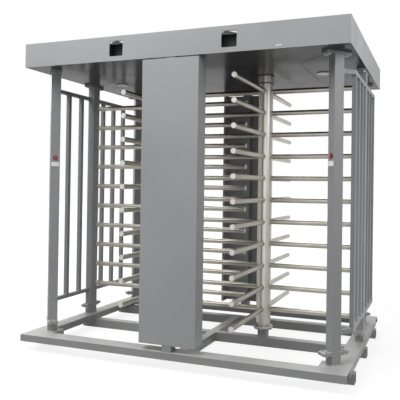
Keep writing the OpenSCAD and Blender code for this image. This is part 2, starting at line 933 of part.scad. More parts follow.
module at_right() {
    translate([rotor_x, 0, 0]) children();
}

module left_column() { at_left() column(); }
module left_spindles() { at_left() spindles(); }
module left_arms_set() { color(steel) at_left() at_arms(left_low_z, left_arms) arm(); }
module left_arm_caps() { color("#e6e5e0") at_left() at_arms(left_low_z, left_arms) arm_cap(); }
module left_index_plate() { at_left() index_plate(); }
module left_drive_gear() { at_left() drive_gear(); }
module left_pinion() { at_left() pinion(); }

module right_column() { at_right() column(); }
module right_spindles() { at_right() spindles(); }
module right_arms_set() { color(steel) at_right() at_arms(right_low_z, right_arms) arm(); }
module right_arm_caps() { color("#e6e5e0") at_right() at_arms(right_low_z, right_arms) arm_cap(); }
module right_index_plate() { at_right() index_plate(); }
module right_drive_gear() { at_right() drive_gear(); }
module right_pinion() { at_right() pinion(); }

// Controls, drawn for the right post
module bezel() {
    at_button() difference() {
        union() {
            translate([0, 0, -bezel_t]) cylinder(h = bezel_t, r = bezel_r);
            cylinder(h = button_inner, r = bezel_sleeve_r);
        }
        translate([0, 0, -bezel_t - cut])
            cylinder(h = bezel_t + button_inner + 2 * cut, r = button_r + running_gap);
    }
}

module button_bezels() {
    color("#2c2c2e") both_sides() bezel();
}

module button_switches() {
    color("#2c2c2e") both_sides() at_button() translate([-switch_w / 2, -switch_w / 2, button_inner])
        cube([switch_w, switch_w, switch_d]);
}

module button() {
    color("#b3201c") at_button() translate([0, 0, -bezel_t - button_out])
        cylinder(h = bezel_t + button_out + button_inner - 2 * button_travel, r = button_r);
}

module right_button() { button(); }
module left_button() { mirror([1, 0, 0]) button(); }

front_sill();
rear_sill();
side_sills();
outer_cross_tubes();
middle_cross_tube();
centre_spine();
sill_gussets();
post_stubs();
front_left_post();
front_right_post();
rear_posts();
middle_posts();
centre_posts();
head_plates();
post_bolts();
left_front_fence();
left_rear_fence();
right_front_fence();
right_rear_fence();
front_cover();
rear_cover();
perimeter_beams();
rotor_beams();
front_fascia();
rear_fascia();
side_fascias();
roof_sheet();
outer_soffits();
centre_soffit();
ceiling_lamps();
window_boxes();
bearing_plates();
top_bearings();
bearing_rings();
dampers();
lock_solenoids();
rotor_foot_posts();
bottom_bearings();
bearing_bolts();
top_collars();
button_bezels();
button_switches();
left_column();
left_spindles();
left_arms_set();
left_arm_caps();
left_index_plate();
left_drive_gear();
right_column();
right_spindles();
right_arms_set();
right_arm_caps();
right_index_plate();
right_drive_gear();
left_pinion();
right_pinion();
left_pawl();
right_pawl();
left_button();
right_button();
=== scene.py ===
import json
import math

import bmesh
import bpy
from mathutils import Matrix, Vector


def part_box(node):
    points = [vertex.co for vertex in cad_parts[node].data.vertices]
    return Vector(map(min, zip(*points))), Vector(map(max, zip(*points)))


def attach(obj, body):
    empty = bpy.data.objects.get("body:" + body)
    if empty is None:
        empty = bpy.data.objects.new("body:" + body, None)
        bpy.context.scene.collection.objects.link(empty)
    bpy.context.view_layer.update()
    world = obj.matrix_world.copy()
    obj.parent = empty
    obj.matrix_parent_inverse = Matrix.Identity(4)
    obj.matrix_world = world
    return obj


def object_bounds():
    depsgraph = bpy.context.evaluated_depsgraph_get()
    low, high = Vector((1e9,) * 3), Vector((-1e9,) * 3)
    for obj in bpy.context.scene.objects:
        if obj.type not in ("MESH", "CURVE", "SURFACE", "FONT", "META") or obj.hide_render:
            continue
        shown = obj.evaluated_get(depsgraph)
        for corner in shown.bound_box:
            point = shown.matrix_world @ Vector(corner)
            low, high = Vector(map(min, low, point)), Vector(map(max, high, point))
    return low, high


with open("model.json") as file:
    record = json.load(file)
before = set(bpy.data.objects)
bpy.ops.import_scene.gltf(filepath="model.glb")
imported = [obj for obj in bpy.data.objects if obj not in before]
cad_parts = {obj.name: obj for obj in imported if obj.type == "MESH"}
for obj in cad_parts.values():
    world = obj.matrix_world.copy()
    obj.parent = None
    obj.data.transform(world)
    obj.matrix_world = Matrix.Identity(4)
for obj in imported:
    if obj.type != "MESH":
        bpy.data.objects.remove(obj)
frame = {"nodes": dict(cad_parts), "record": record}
cadLow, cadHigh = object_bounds()
print("frame loaded:", len(frame["nodes"]), "nodes")

mm = 0.001
record = frame["record"]
nodes = frame["nodes"]
upward = Vector((0, 0, 1))


def hexToLinear(hexColour):
    parts = [int(hexColour[i:i + 2], 16) / 255 for i in (1, 3, 5)]
    return [c / 12.92 if c <= 0.04045 else ((c + 0.055) / 1.055) ** 2.4 for c in parts] + [1.0]


def addNode(tree, kind, settings=None, links=None):
    # a link comes from an output, or from a node by its first output
    node = tree.nodes.new(kind)
    for key, value in (settings or {}).items():
        if isinstance(key, int) or key in node.inputs.keys():
            node.inputs[key].default_value = value
        else:
            setattr(node, key, value)
    for socket, source in (links or {}).items():
        output = source.outputs[0] if isinstance(source, bpy.types.Node) else source
        tree.links.new(output, node.inputs[socket])
    return node


def startMaterial(name):
    material = bpy.data.materials.new(name)
    material.use_nodes = True
    tree = material.node_tree
    tree.nodes.clear()
    return material, tree, addNode(tree, "ShaderNodeTexCoord").outputs["Object"]


noiseEdges = (0.3, 0.7)  # most of a noise lies between these
wholeNoise = (0, 1)


def blotches(tree, place, sizeMm, low=0, high=1, detail=2, grain=0.5, edges=noiseEdges, stretch=(1, 1, 1)):
    # patches, each about sizeMm wide on the real thing, that go from low to high between the noise's edges
    squeezed = addNode(tree, "ShaderNodeVectorMath", {"operation": "MULTIPLY", 1: stretch}, {0: place})
    noise = addNode(tree, "ShaderNodeTexNoise",
                    {"Scale": 1 / (sizeMm * mm), "Detail": detail, "Roughness": grain},
                    {"Vector": squeezed})
    return addNode(tree, "ShaderNodeMapRange",
                   {"From Min": edges[0], "From Max": edges[1], "To Min": low, "To Max": high},
                   {"Value": noise})


def edgeMask(tree, radiusMm, leans):
    # 0 on flats, rising on the edges, from how far a rounded normal leans away from the true one
    rounded = addNode(tree, "ShaderNodeBevel", {"samples": 4, "Radius": radiusMm * mm})
    true = addNode(tree, "ShaderNodeNewGeometry").outputs["Normal"]
    lean = addNode(tree, "ShaderNodeVectorMath", {"operation": "DOT_PRODUCT"}, {0: rounded, 1: true})
    return addNode(tree, "ShaderNodeMapRange",
                   {"From Min": leans[0], "From Max": leans[1], "To Min": 1, "To Max": 0},
                   {"Value": lean.outputs["Value"]})


# Metallic polyester powder coat on mild steel, sprayed and baked: a satin grey with fine aluminium flake
# drawn as pale flecks of painted sparkle, a faint orange-peel ripple, slow changes of tone, a little dust
# low down, faces that look up made paler by dust and painted top light, and pale edges that are partly rubs
# and partly painted highlight
powderCoat = {
    "colour": "#9FA0A2",
    "deep": "#97989A",
    # the pale colour of the edges and the flake: rubbed paint, a painted highlight on the edges and the
    # painted sparkle of the flake
    "rubAndHighlight": "#C4C5C6",
    "dust": "#A9A79F",
    "dustAndPaintedTopLight": "#D2D1CE",  # fine dust on every face that looks up, together with painted top light that makes those faces paler
    "metallic": 0.06,
    "sheen": 0.3,
    "roughness": (0.38, 0.48),
    "cloudMm": 420,
    "flakeSparkleMm": 2.4,  # real flake is 0.1 mm, and its painted sparkle is drawn coarser so that it shows
    "flakeSparkleAmount": 0.25,
    "flakeSparkleEdges": (0.5, 0.75),
    "dustMm": 90,
    "dustAmount": 0.22,
    "dustLeast": 0.2,
    "dustHeights": (0.05, 0.6),
    "dustAndPaintedTopLightMm": 160,
    "dustAndPaintedTopLightAmount": 0.45,
    "dustAndPaintedTopLightLeast": 0.6,
    "dustAndPaintedTopLightSlopes": (0.5, 0.95),
    "edgeMm": 2.5,
    "edgeLeans": (0.75, 0.99),
    "rubAndHighlightMm": 60,
    "rubAndHighlightAmount": 0.6,
    "rubAndHighlightLeast": 0.1,
    "smearMm": 140,
    "smearStretch": (1, 1, 0.35),
    "peelMm": 3.2,
    "peelDepth": 0.25,
    "peelHeightMm": 0.1,
}


def satinPowderCoat(name, coat):
    material, tree, place = startMaterial(name)
    clouds = blotches(tree, place, coat["cloudMm"])
    # pale flecks of painted sparkle from the aluminium flake
    flakeSparkle = blotches(tree, place, coat["flakeSparkleMm"], high=coat["flakeSparkleAmount"], detail=1, grain=0.6,
                     edges=coat["flakeSparkleEdges"])
    height = addNode(tree, "ShaderNodeSeparateXYZ", None, {0: place}).outputs["Z"]
    lowDown = addNode(tree, "ShaderNodeMapRange",
                      {"From Min": coat["dustHeights"][0], "From Max": coat["dustHeights"][1],
                       "To Min": coat["dustAmount"], "To Max": 0}, {"Value": height})
    dustPatches = blotches(tree, place, coat["dustMm"], coat["dustLeast"], detail=4)
    dust = addNode(tree, "ShaderNodeMath", {"operation": "MULTIPLY"}, {0: lowDown, 1: dustPatches})
    # faces that look up are painted paler, partly by dust and partly as painted top light
    facing = addNode(tree, "ShaderNodeNewGeometry").outputs["Normal"]
    slope = addNode(tree, "ShaderNodeSeparateXYZ", None, {0: facing}).outputs["Z"]
    level = addNode(tree, "ShaderNodeMapRange",
                    {"From Min": coat["dustAndPaintedTopLightSlopes"][0], "From Max": coat["dustAndPaintedTopLightSlopes"][1],
                     "To Min": 0, "To Max": coat["dustAndPaintedTopLightAmount"]}, {"Value": slope})
    dustAndPaintedTopLightPatches = blotches(tree, place, coat["dustAndPaintedTopLightMm"], coat["dustAndPaintedTopLightLeast"], detail=5, grain=0.6)
    dustAndPaintedTopLight = addNode(tree, "ShaderNodeMath", {"operation": "MULTIPLY"}, {0: level, 1: dustAndPaintedTopLightPatches})
    # pale edges: rubbed wear, and a painted highlight along every edge
    edges = edgeMask(tree, coat["edgeMm"], coat["edgeLeans"])
    rubAndHighlightPatches = blotches(tree, place, coat["rubAndHighlightMm"], coat["rubAndHighlightLeast"], coat["rubAndHighlightAmount"], detail=4)
    rubAndHighlights = addNode(tree, "ShaderNodeMath", {"operation": "MULTIPLY"}, {0: edges, 1: rubAndHighlightPatches})
    colour = addNode(tree, "ShaderNodeMix",
                     {"data_type": "RGBA", 6: hexToLinear(coat["colour"]), 7: hexToLinear(coat["deep"])},
                     {0: clouds}).outputs[2]
    for mask, over in ((flakeSparkle, "rubAndHighlight"), (dust, "dust"), (dustAndPaintedTopLight, "dustAndPaintedTopLight"), (rubAndHighlights, "rubAndHighlight")):
        colour = addNode(tree, "ShaderNodeMix", {"data_type": "RGBA", 7: hexToLinear(coat[over])},
                         {0: mask, 6: colour}).outputs[2]
    low, high = coat["roughness"]
    smear = blotches(tree, place, coat["smearMm"], low, high, detail=3, grain=0.6,
                     stretch=coat["smearStretch"])
    ripple = blotches(tree, place, coat["peelMm"], edges=wholeNoise)
    peel = addNode(tree, "ShaderNodeBump",
                   {"Strength": coat["peelDepth"], "Distance": coat["peelHeightMm"] * mm},
                   {"Height": ripple})
    shader = addNode(tree, "ShaderNodeBsdfPrincipled",
                     {"Metallic": coat["metallic"], "Specular IOR Level": coat["sheen"]},
                     {"Base Color": colour, "Roughness": smear, "Normal": peel})
    addNode(tree, "ShaderNodeOutputMaterial", None, {"Surface": shader})
    return material


# The frame and the sheets take copies of one coat: the frame's a little darker, as painted shade, and the
# sheets' a little paler, as painted light
frameShadedPaint = satinPowderCoat("satinPowderCoatFramePaintedShade", {**powderCoat, "colour": "#98999B", "deep": "#909193"})
sheetLitPaint = satinPowderCoat("satinPowderCoatSheetPaintedLight", {
    **powderCoat, "colour": "#A5A6A8", "deep": "#9D9EA0", "cloudMm": 700, "roughness": (0.32, 0.42)})
basePaint = satinPowderCoat("satinPowderCoatBase", {**powderCoat, "cloudMm": 500, "dustAmount": 0.34})
# The underside of the roof has the same coat made darker, as painted shade, with next to no shine
soffitShadedPaint = satinPowderCoat("powderCoatSoffitPaintedShade", {
    **powderCoat, "colour": "#5E5F60", "deep": "#565758", "rubAndHighlight": "#6A6B6C", "metallic": 0.0, "sheen": 0.035,
    "roughness": (0.16, 0.26), "peelDepth": 0.1, "flakeSparkleAmount": 0.1})


# Stainless tube, belt polished with 240 grit: warm grey metal with streaky reflections, drawn out along the
# tube by fine lines that run round it
stainless = {
    "colour": "#C2C0B8",
    "stain": "#B8B5AC",
    "roughness": (0.30, 0.38),
    "lineMm": 1.6,  # 240 grit leaves lines of 0.06 mm, drawn coarser so that they show
    "lineDepth": 0.1,
    "lineHeightMm": 0.02,
    "lineShare": 0.6,
    "blotchMm": 160,
    "axisX": 0.0,
}
# The arms take a darker copy of the same steel, as painted shade for the dark reflections along them
armSteelShaded = {**stainless, "colour": "#AEABA2", "stain": "#A39F94", "roughness": (0.27, 0.35)}


def polishedStainless(name, steel, along):
    material, tree, place = startMaterial(name)
    fromAxis = addNode(tree, "ShaderNodeVectorMath",
                       {"operation": "SUBTRACT", 1: (steel["axisX"], 0, 0)}, {0: place})
    parts = addNode(tree, "ShaderNodeSeparateXYZ", None, {0: fromAxis}).outputs
    if along == "height":
        run = parts["Z"]
    else:
        flat = addNode(tree, "ShaderNodeCombineXYZ", None, {"X": parts["X"], "Y": parts["Y"]})
        run = addNode(tree, "ShaderNodeVectorMath", {"operation": "LENGTH"}, {0: flat}).outputs["Value"]
    lines = addNode(tree, "ShaderNodeTexNoise",
                    {"noise_dimensions": "1D", "Scale": 1 / (steel["lineMm"] * mm), "Detail": 3.0,
                     "Roughness": 0.7}, {"W": run})
    blotch = blotches(tree, place, steel["blotchMm"], edges=wholeNoise)
    low, high = noiseEdges
    stains = addNode(tree, "ShaderNodeMapRange", {"From Min": low, "From Max": high}, {"Value": blotch})
    colour = addNode(tree, "ShaderNodeMix",
                     {"data_type": "RGBA", 6: hexToLinear(steel["colour"]), 7: hexToLinear(steel["stain"])},
                     {0: stains}).outputs[2]
    streaks = addNode(tree, "ShaderNodeMix", {"data_type": "FLOAT", 0: steel["lineShare"]},
                      {2: blotch, 3: lines})
    smooth, rough = steel["roughness"]
    roughness = addNode(tree, "ShaderNodeMapRange",
                        {"From Min": low, "From Max": high, "To Min": smooth, "To Max": rough},
                        {"Value": streaks})
    grooves = addNode(tree, "ShaderNodeBump",
                      {"Strength": steel["lineDepth"], "Distance": steel["lineHeightMm"] * mm},
                      {"Height": lines})
    shader = addNode(tree, "ShaderNodeBsdfPrincipled", {"Metallic": 1.0},
                     {"Base Color": colour, "Roughness": roughness, "Normal": grooves})
    addNode(tree, "ShaderNodeOutputMaterial", None, {"Surface": shader})
    return material


# Small hardware of metal, plastic, enamel or rubber: a faint skin texture, with a cloudy colour and shine
# from plating, moulding or handling
def cloudyFinish(name, finish):
    material, tree, place = startMaterial(name)
    cloud = blotches(tree, place, finish["cloudMm"], detail=3)
    clean = hexToLinear(finish["colour"])
    soiled = hexToLinear(finish["soiled"])
    colour = addNode(tree, "ShaderNodeMix", {"data_type": "RGBA", 6: clean, 7: soiled},
                     {0: cloud}).outputs[2]
    smooth, rough = finish["roughness"]
    roughness = addNode(tree, "ShaderNodeMapRange", {"To Min": smooth, "To Max": rough}, {"Value": cloud})
    grain = blotches(tree, place, finish["grainMm"], edges=wholeNoise)
    skin = addNode(tree, "ShaderNodeBump",
                   {"Strength": finish["skinDepth"], "Distance": finish["skinHeightMm"] * mm},
                   {"Height": grain})
    shader = addNode(tree, "ShaderNodeBsdfPrincipled", {"Metallic": finish["metallic"]},
                     {"Base Color": colour, "Roughness": roughness, "Normal": skin})
    addNode(tree, "ShaderNodeOutputMaterial", None, {"Surface": shader})
    return material


steelSkin = {"metallic": 1.0, "skinDepth": 0.1, "skinHeightMm": 0.02}
mouldSkin = {"metallic": 0.0, "skinDepth": 0.15, "skinHeightMm": 0.05}
# Bright zinc from the plating barrel: cool, pale and a little uneven in shine
zincPlate = cloudyFinish("barrelPlatedZinc", {
    **steelSkin, "colour": "#B4B5B5", "soiled": "#9FA09E", "roughness": (0.28, 0.44),
    "cloudMm": 14, "grainMm": 1.1})
# Tool steel as the lathe leaves it: the same grey, with a finer grain and a sharper shine
turnedSteel = cloudyFinish("turnedToolSteel", {
    **steelSkin, "colour": "#B0B1B1", "soiled": "#9A9A98", "roughness": (0.22, 0.38),
    "cloudMm": 30, "grainMm": 0.7})
# Moulded nylon of the arm caps: off white with a soft shine. The same white stands for painted light in the
# fascia slot and along the tops of the windows
whiteNylonAndPaintedLight = cloudyFinish("mouldedWhiteNylonAndPaintedLight", {
    **mouldSkin, "colour": "#EFEEEA", "soiled": "#E6E4DE", "roughness": (0.34, 0.46),
    "cloudMm": 12, "grainMm": 0.8})
# Stove enamel of the bare plates under the buttons: the brightest white on the part, smooth and glossy
whiteEnamel = cloudyFinish("stoveEnamelledWhite", {
    **mouldSkin, "colour": "#FAFAF8", "soiled": "#F3F3F0", "roughness": (0.20, 0.32),
    "cloudMm": 9, "grainMm": 1.2})
# Moulded ABS of the housings: near black and dull. The same black stands for painted shade in the windows
blackAbsAndPaintedShade = cloudyFinish("mouldedBlackAbsAndPaintedShade", {
    **mouldSkin, "colour": "#222324", "soiled": "#2B2C2D", "roughness": (0.51, 0.63),
    "cloudMm": 25, "grainMm": 0.8})
# Moulded opal acrylic of the ceiling lamps: milky and a little yellowed
opalAcrylic = cloudyFinish("mouldedOpalAcrylic", {
    **mouldSkin, "colour": "#E4E2DC", "soiled": "#D8D5CD", "roughness": (0.26, 0.38),
    "cloudMm": 40, "grainMm": 1.5})
# Moulded ABS of the push buttons: strong red, polished by use
redAbs = cloudyFinish("mouldedRedAbs", {
    **mouldSkin, "colour": "#D8352A", "soiled": "#C42E25", "roughness": (0.26, 0.38),
    "cloudMm": 9, "grainMm": 0.8})
# Moulded nitrile rubber of the seals: black, the dullest surface on the part
sealRubber = cloudyFinish("mouldedNitrileRubber", {
    **mouldSkin, "colour": "#17181A", "soiled": "#222325", "roughness": (0.56, 0.68),
    "cloudMm": 18, "grainMm": 0.9})

slotMaterials = {
    "painted_frame": frameShadedPaint,
    "painted_base": basePaint,
    "painted_sheet": sheetLitPaint,
    "stainless_bearing": polishedStainless("polishedStainlessBearing", stainless, "height"),
    "zinc_fastener": zincPlate,
    "machined_steel": turnedSteel,
    "arm_cap": whiteNylonAndPaintedLight,
    "black_housing": blackAbsAndPaintedShade,
    "lamp_lens": opalAcrylic,
    "red_button": redAbs,
}
ownMaterials = {"outer_soffits": soffitShadedPaint, "centre_soffit": soffitShadedPaint}
rotors = {}
for side in ("left", "right"):
    columnLow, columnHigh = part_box(side + "_column")
    armsLow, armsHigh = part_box(side + "_arms_set")
    axisX = (columnLow.x + columnHigh.x) / 2
    rotors[side] = {"x": axisX, "radius": (columnHigh.x - columnLow.x) / 2, "lowArm": armsLow.z,
                    "highArm": armsHigh.z}
    ownMaterials[side + "_column"] = polishedStainless(
        side + "PolishedColumn", {**stainless, "axisX": axisX}, "height")
    ownMaterials[side + "_arms_set"] = polishedStainless(
        side + "PolishedArmsPaintedShade", {**armSteelShaded, "axisX": axisX}, "reach")


def dress(piece, material):
    if piece.data.materials:
        for slot in piece.material_slots:
            slot.material = material
    else:
        piece.data.materials.append(material)


for part in record["subparts"]:
    name = part["node"]
    dress(nodes[name], ownMaterials.get(name) or slotMaterials[part["material_slot"]])
print("materials given to", len(record["subparts"]), "nodes")

# Small parts that the construction leaves out: seals, plates, washers, window corners and weld beads, with
# white and dark sheets of painted light and painted shade in the windows and the fascia slot
sharpAngle = math.radians(40)


def finishPiece(name, net, material, body, bevelMm=0):
    bmesh.ops.recalc_face_normals(net, faces=net.faces)
    mesh = bpy.data.meshes.new(name)
    net.to_mesh(mesh)
    net.free()
    piece = bpy.data.objects.new(name, mesh)
    bpy.context.scene.collection.objects.link(piece)
    for face in mesh.polygons:
        face.use_smooth = True
    mesh.set_sharp_from_angle(angle=sharpAngle)
    mesh.materials.append(material)
    if bevelMm:
        bevel = piece.modifiers.new("edges", "BEVEL")
        bevel.width = bevelMm * mm
        bevel.segments = 2
    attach(piece, body)


def addTube(net, path, section):
    # a closed loop: path holds (point, side, up) stations, and section gives the (side, up) points of each
    rings = [[net.verts.new(point + side * a + up * b) for a, b in section(i)]
             for i, (point, side, up) in enumerate(path)]
    for i, ring in enumerate(rings):
        after = rings[(i + 1) % len(rings)]
        for j in range(len(ring)):
            k = (j + 1) % len(ring)
            net.faces.new((ring[j], ring[k], after[k], after[j]))


def addRing(net, place, profile, steps):
    # profile holds (radius, height) points in mm, and turns about the upright axis through place
    turns = [2 * math.pi * k / steps for k in range(steps)]
    path = [(place, Vector((math.cos(t), math.sin(t), 0)), upward) for t in turns]
    addTube(net, path, lambda i: [(r * mm, z * mm) for r, z in profile])


def addSheet(net, outline, out, thickMm):
    front = [net.verts.new(point + out * thickMm * mm) for point in outline]
    back = [net.verts.new(point) for point in outline]
    net.faces.new(front)
    net.faces.new(back[::-1])
    for i in range(len(outline)):
        k = (i + 1) % len(outline)
        net.faces.new((front[i], back[i], back[k], front[k]))


def addPlate(net, centre, across, out, sizeMm, cornerMm, steps=5):
    # a flat plate with round corners, whose back is on centre and whose front is out from it
    width, height, thickMm = sizeMm
    corner = cornerMm * mm
    outline = []
    for signX, signY, start in ((1, 1, 0), (-1, 1, 1), (-1, -1, 2), (1, -1, 3)):
        for k in range(steps + 1):
            t = (start + k / steps) * math.pi / 2
            outline.append(centre + across * (signX * (width * mm / 2 - corner) + corner * math.cos(t))
                           + upward * (signY * (height * mm / 2 - corner) + corner * math.sin(t)))
    addSheet(net, outline, out, thickMm)


def nodeMiddle(name):
    low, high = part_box(name)
    return (low + high) / 2


weld = {"sizeMm": 4.5, "fenceMm": 3.2, "armMm": 3.0, "radiusShare": 0.62, "stepMm": 1.7, "rippleMm": 3.4,
        "ripple": 0.16, "sides": 6}


def weldSection(sizeMm, shift=0.0):
    def section(i):
        swell = 1 + weld["ripple"] * math.sin(2 * math.pi * (i * weld["stepMm"] / weld["rippleMm"] + shift))
        radius = sizeMm * mm * weld["radiusShare"] * swell
        turns = [2 * math.pi * j / weld["sides"] for j in range(weld["sides"])]
        return [(radius * math.cos(t), radius * math.sin(t)) for t in turns]
    return section


def addRectangleBead(net, centre, turn, widthMm, depthMm, up, sizeMm):
    # a bead round a tube that stands on, or hangs from, a level face
    along = Vector((math.cos(turn), math.sin(turn), 0)) * widthMm * mm / 2
    across = Vector((-math.sin(turn), math.cos(turn), 0)) * depthMm * mm / 2
    corners = [centre - along - across, centre + along - across, centre + along + across,
               centre - along + across]
    path = []
    for i, start in enumerate(corners):
        end = corners[(i + 1) % len(corners)]
        steps = max(2, round((end - start).length / (weld["stepMm"] * mm)))
        out = ((start + end) / 2 - centre).normalized()
        path += [(start.lerp(end, k / steps), out, upward * up) for k in range(steps)]
    addTube(net, path, weldSection(sizeMm))


posts = {"cornerWidth": 70, "cornerTurn": math.radians(45), "middleWidth": 60, "middleDepth": 80,
         "flange": 10}
cornerPlace = nodeMiddle("front_right_post")
postLow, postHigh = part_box("front_right_post")
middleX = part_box("middle_posts")[1].x - posts["middleWidth"] / 2 * mm
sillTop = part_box("front_sill")[1].z
footings = []
for signX in (-1, 1):
    for signY in (-1, 1):
        turn = -signX * signY * posts["cornerTurn"]
        footings.append({"place": Vector((signX * cornerPlace.x, -signY * cornerPlace.y, 0)), "turn": turn,
                         "earTurn": turn, "width": posts["cornerWidth"], "depth": posts["cornerWidth"]})
    footings.append({"place": Vector((signX * middleX, 0, 0)), "turn": 0, "earTurn": math.pi / 2,
                     "width": posts["middleWidth"], "depth": posts["middleDepth"]})


def makePostWelds():
    # on the sill, under and over the lower plates, and under the head plate
    flange = posts["flange"] * mm
    levels = ((sillTop, 1), (postLow.z - flange, -1), (postLow.z + flange, 1), (postHigh.z - flange, -1))
    net = bmesh.new()
    for foot in footings:
        for z, up in levels:
            addRectangleBead(net, foot["place"] + upward * z, foot["turn"], foot["width"], foot["depth"], up,
                             weld["sizeMm"])
    finishPiece("postWeldBeads", net, frameShadedPaint, "frame")


fence = {"outX": 1230, "bar": 30, "firstBar": 160, "pitch": 165, "count": 3}


def makeFenceWelds():
    low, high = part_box("right_front_fence")
    bar = fence["bar"]
    net = bmesh.new()
    for signX in (-1, 1):
        for signY in (-1, 1):
            for i in range(fence["count"]):
                x = signX * (fence["outX"] - bar / 2) * mm
                y = signY * (fence["firstBar"] + i * fence["pitch"]) * mm
                for z, up in ((low.z + bar * mm, 1), (high.z - bar * mm, -1)):
                    addRectangleBead(net, Vector((x, y, z)), 0, bar, bar, up, weld["fenceMm"])
    finishPiece("fenceWeldBeads", net, frameShadedPaint, "frame")


arms = {"radius": 19, "pitch": 173, "wings": 4, "beadSteps": 72, "beadShift": 1 / 7}


def makeArmWelds(side):
    # each bead follows the saddle where a round arm meets the round column
    rotor = rotors[side]
    radius = arms["radius"] * mm
    pitch = arms["pitch"] * mm
    count = round((rotor["highArm"] - rotor["lowArm"] - 2 * radius) / pitch) + 1
    net = bmesh.new()
    for level in range(count):
        centre = Vector((rotor["x"], 0, rotor["lowArm"] + radius + level * pitch))
        for wing in range(arms["wings"]):
            wingTurn = 2 * math.pi * wing / arms["wings"]
            ahead = Vector((math.cos(wingTurn), math.sin(wingTurn), 0))
            beside = Vector((-ahead.y, ahead.x, 0))
            path = []
            for k in range(arms["beadSteps"]):
                t = 2 * math.pi * k / arms["beadSteps"]
                spoke = beside * math.cos(t) + upward * math.sin(t)
                reach = math.sqrt(rotor["radius"] ** 2 - (radius * math.cos(t)) ** 2)
                path.append((centre + ahead * reach + spoke * radius, spoke, ahead))
            addTube(net, path, weldSection(weld["armMm"], level * arms["beadShift"]))
    finishPiece(side + "ArmWeldBeads", net, ownMaterials[side + "_arms_set"],
                side + "_rotor")


seal = {"inner": {"UpperSeal": 62.6, "LowerSeal": 62.7}, "outer": 64.5, "lip": 66.5, "lipFrom": 1.2,
        "lipTo": 3.6, "height": 5.0, "steps": 72}


def makeSeals(side):
    # rubber rings round the top edge and the bottom edge of the collar, each with a lip
    collarLow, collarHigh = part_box("top_collars")
    for name, z, up in (("UpperSeal", collarHigh.z, -1), ("LowerSeal", collarLow.z, 1)):
        inner = seal["inner"][name]
        profile = [(inner, 0), (seal["outer"], 0), (seal["lip"], up * seal["lipFrom"]),
                   (seal["lip"], up * seal["lipTo"]), (seal["outer"], up * seal["height"]),
                   (inner, up * seal["height"])]
        net = bmesh.new()
        addRing(net, Vector((rotors[side]["x"], 0, z)), profile, seal["steps"])
        finishPiece(side + name, net, sealRubber, "frame")


plates = {"size": (58, 33, 1.5), "corner": 3, "below": 51, "rivet": 2.2, "rivetIn": 5, "rivetHead": 0.8,
          "edgeMm": 0.3}


def makeButtonPlate(side, sign):
    out = Vector((-sign, -1, 0)).normalized()
    across = upward.cross(out)
    width, height, thick = plates["size"]
    face = (Vector((sign * cornerPlace.x, cornerPlace.y, nodeMiddle(side + "_button").z))
            + out * posts["cornerWidth"] / 2 * mm - upward * plates["below"] * mm)
    net = bmesh.new()
    addPlate(net, face, across, out, plates["size"], plates["corner"])
    rivetSize = (2 * plates["rivet"], 2 * plates["rivet"], plates["rivetHead"])
    for end in (-1, 1):
        rivet = face + across * end * (width / 2 - plates["rivetIn"]) * mm + out * thick * mm
        addPlate(net, rivet, across, out, rivetSize, plates["rivet"])
    finishPiece(side + "BarePlate", net, whiteEnamel, "frame", plates["edgeMm"])


outFront = Vector((0, -1, 0))
alongX = Vector((1, 0, 0))
slotPaintedLight = {"x": 777, "above": 21, "size": (43, 9, 3.4), "depth": 2.6, "edgeMm": 0.6}


def makeSlotPaintedLight():
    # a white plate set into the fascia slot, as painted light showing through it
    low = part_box("front_fascia")[0]
    centre = Vector((slotPaintedLight["x"] * mm, low.y + slotPaintedLight["depth"] * mm, low.z + slotPaintedLight["above"] * mm))
    net = bmesh.new()
    addPlate(net, centre, alongX, outFront, slotPaintedLight["size"], slotPaintedLight["size"][1] / 2)
    finishPiece("slotPaintedLight", net, whiteNylonAndPaintedLight, "frame", slotPaintedLight["edgeMm"])


window = {
    "side": 110,
    "corner": 9,
    "cornerSteps": 6,
    "cornerDepth": 1.8,
    "cornerThick": 1.6,
    "edgeGap": 0.6,
    "thick": 1.2,
    "lightSheetDepth": 5.4,
    "lightSheetHeight": 20,
    "shadeSheetDepth": 4.0,
    "shadeSheetHeight": 26,
    "shadeSheetLeft": 9,  # the shade sheet's left and right ends are this high above its lower edge
    "shadeSheetRight": 5,
    "peakHalfShare": 0.16,
    "peakShare": {"left": 0.56, "right": 0.3},
}


